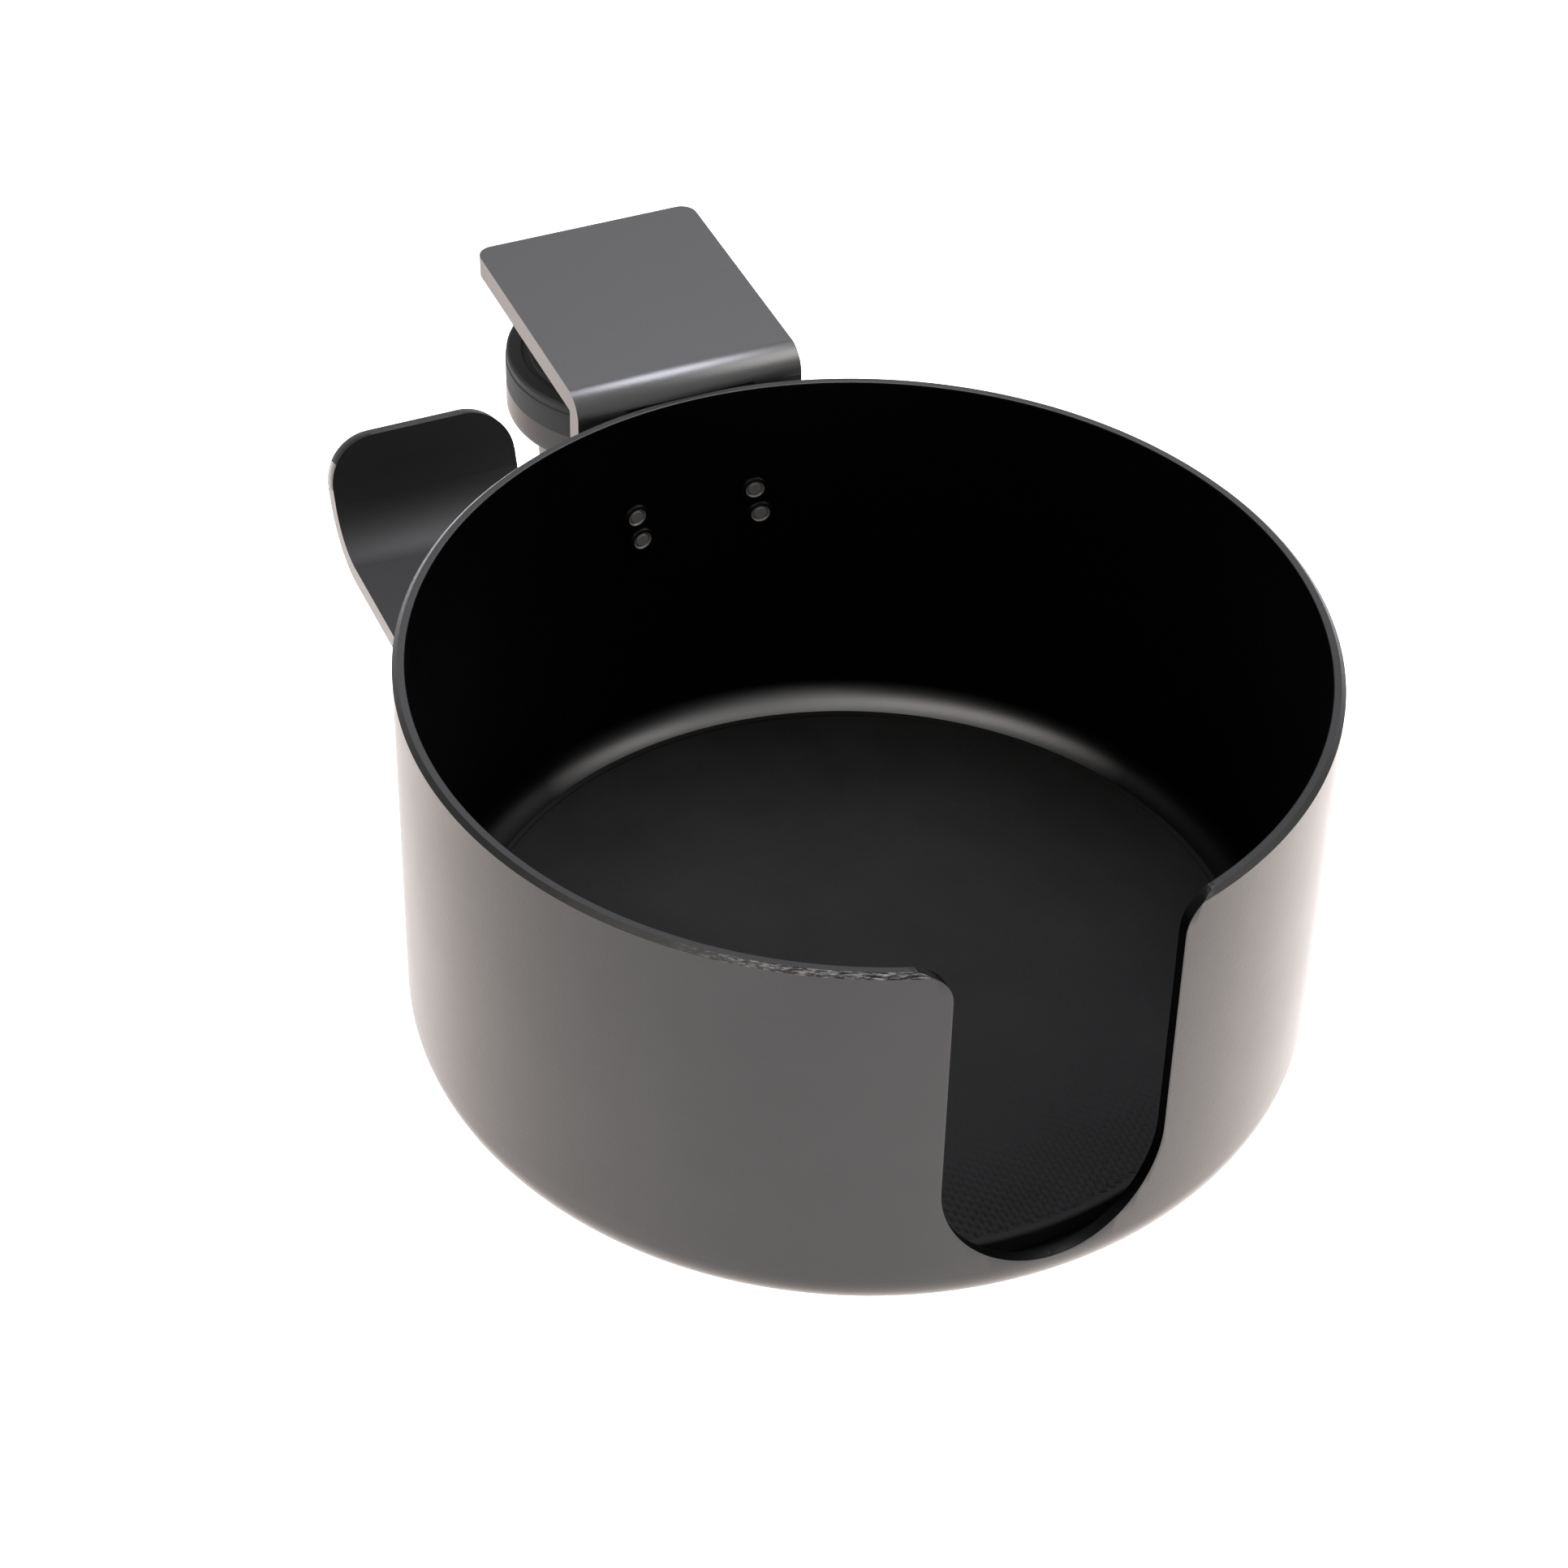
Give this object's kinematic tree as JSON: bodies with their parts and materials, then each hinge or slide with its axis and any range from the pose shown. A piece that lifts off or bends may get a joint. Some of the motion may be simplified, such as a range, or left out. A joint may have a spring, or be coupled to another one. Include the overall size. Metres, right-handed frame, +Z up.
{
  "type": "desk clamp cup holder",
  "caption": "Round metal cup with a handle slot, riveted to a bent strip clamp with a hand screw, swivel foot and upturned hanging hook, for the edge of a desk.",
  "frame": {"origin": "centre of the upper jaw pad's underside, the face that lies on the desk", "axes": "+Z up, +Y from the cup into the desk, along the jaw and the hook; +X across the strip; the mug handle's slot faces -Y"},
  "size_m": [0.095, 0.193, 0.1144],
  "materials": {
    "cup_coat": "satin black powder coat, warm grey where light grazes it",
    "mat_rubber": "matt, with a fine pressed grid",
    "rivet_metal": "satin dark metal",
    "strip_coat": "satin black powder coat",
    "pad_rubber": "matt",
    "bush_metal": "zinc plated",
    "washer_metal": "zinc plated",
    "foot_coat": "satin black powder coat",
    "screw_steel": "zinc plated steel",
    "knob_plastic": "fine moulded texture",
    "insert_brass": "turned",
    "cap_plastic": "smooth moulded plastic"
  },
  "bodies": {
    "holder": {"cup": "cup_coat", "floor_mat": "mat_rubber", "wall_rivets": "rivet_metal", "clamp_strip": "strip_coat", "jaw_pad": "pad_rubber", "screw_bush": "bush_metal"},
    "carrier": {"thrust_washer": "washer_metal"},
    "foot": {"foot_pad": "pad_rubber", "foot_shell": "foot_coat", "foot_hub": "foot_coat"},
    "screw": {"clamp_screw": "screw_steel", "knob": "knob_plastic", "knob_insert": "insert_brass", "knob_washer": "washer_metal", "knob_bolt": "screw_steel", "knob_cap": "cap_plastic"}
  },
  "joints": [
    {"name": "foot_travel", "type": "slide", "parent": "holder", "child": "carrier", "axis": [0, 0, 1], "range_m": [-0.055, 0.0036]},
    {"name": "knob_turn", "type": "hinge", "parent": "carrier", "child": "screw", "pos_m": [0, 0, -0.09], "axis": [0, 0, 1], "range_deg": [-9901, 649]},
    {"name": "foot_tilt", "type": "hinge", "parent": "carrier", "child": "foot", "pos_m": [0, 0, -0.0119], "axis": [1, 0, 0], "range_deg": [-3, 3]}
  ],
  "couplings": [
    {"joint": "knob_turn", "follows": "foot_travel", "rad_per_m": 3141.6}
  ]
}
